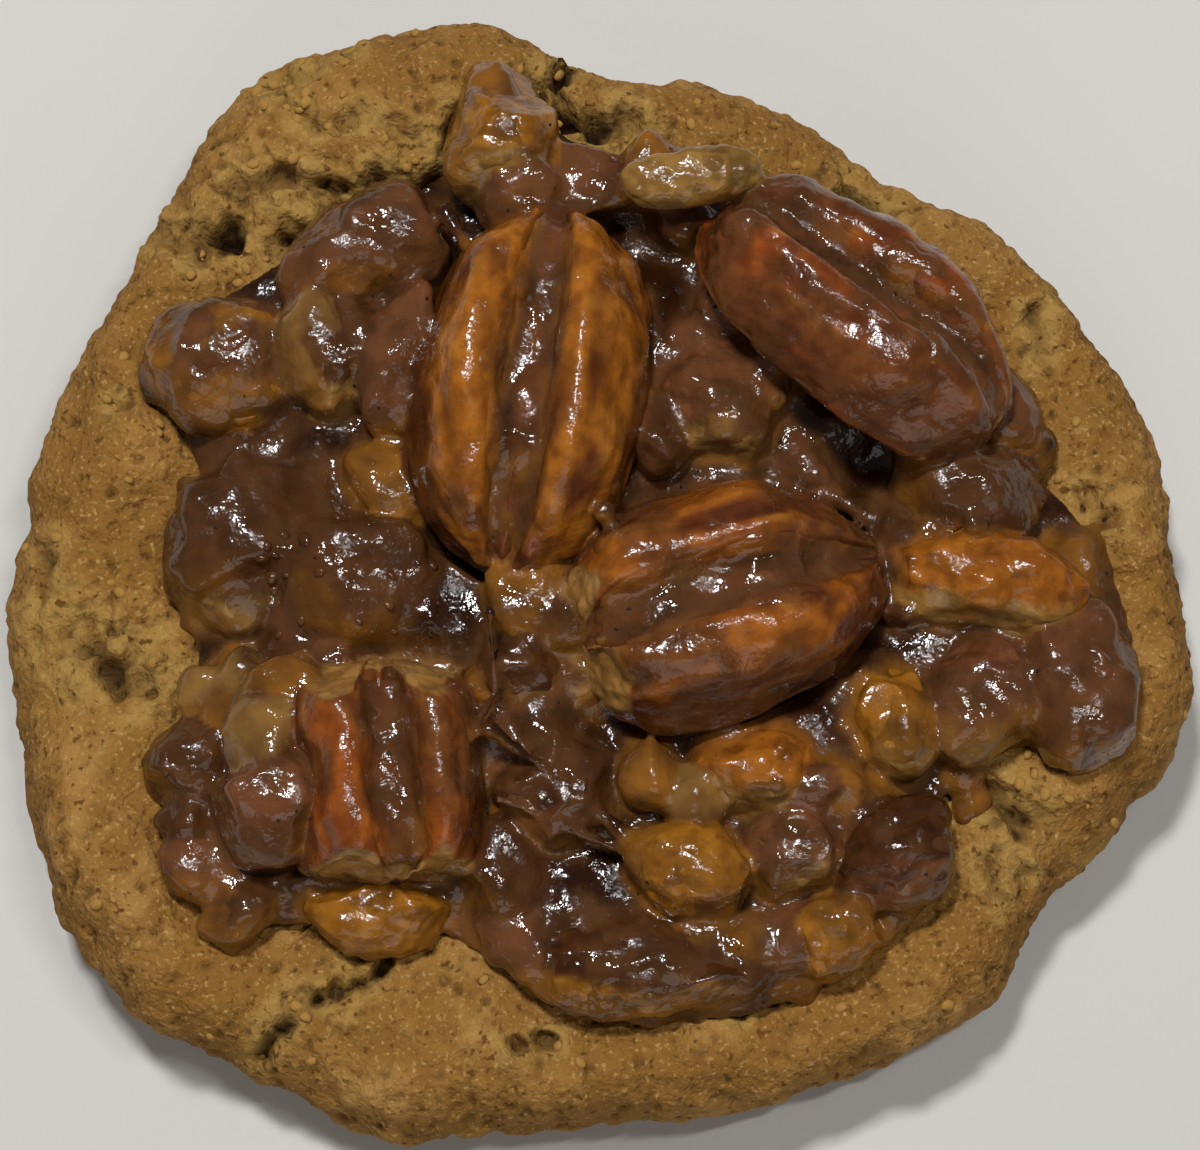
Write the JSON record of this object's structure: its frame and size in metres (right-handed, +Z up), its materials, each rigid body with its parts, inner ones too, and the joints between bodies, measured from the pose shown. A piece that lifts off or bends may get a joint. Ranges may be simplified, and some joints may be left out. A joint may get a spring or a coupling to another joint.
{
  "type": "pecan pie cookie",
  "caption": "Thick soft round cookie heaped with glossy caramel filling and whole, broken and chopped pecans.",
  "frame": {"origin": "centre of the cookie's flat underside, on the surface it rests on", "axes": "+X to the right and +Y away from the eye in the view from the front, +Z up through the filling"},
  "size_m": [0.099, 0.0956, 0.0295],
  "materials": {
    "baked_cookie": "matte baked crumb",
    "caramel": "wet gloss",
    "pecan": "satin under a thin syrup film"
  },
  "bodies": {
    "root": {"cookie": "baked_cookie", "caramel_filling": "caramel", "pecan_half_upper_left": "pecan", "pecan_half_centre": "pecan", "pecan_half_right": "pecan", "pecan_half_lower_left": "pecan", "pecan_piece_finger": "pecan", "pecan_piece_sliver": "pecan", "pecan_piece_upper_centre": "pecan", "pecan_piece_hump": "pecan", "pecan_piece_block_left": "pecan", "pecan_piece_crumb_left": "pecan", "pecan_piece_left": "pecan", "pecan_piece_nub_left": "pecan", "pecan_piece_cut_lower_left": "pecan", "pecan_piece_knob_centre": "pecan", "pecan_piece_below_centre": "pecan", "pecan_piece_small_centre": "pecan", "pecan_piece_rounded_end": "pecan", "pecan_piece_broad_bottom": "pecan", "pecan_piece_lump_lower": "pecan", "pecan_piece_wrinkled": "pecan", "pecan_piece_amber_lower": "pecan", "pecan_piece_amber_right": "pecan", "pecan_piece_film_right": "pecan", "pecan_piece_long_right": "pecan", "pecan_piece_lump_right": "pecan", "pecan_piece_block_right": "pecan"}
  },
  "joints": []
}
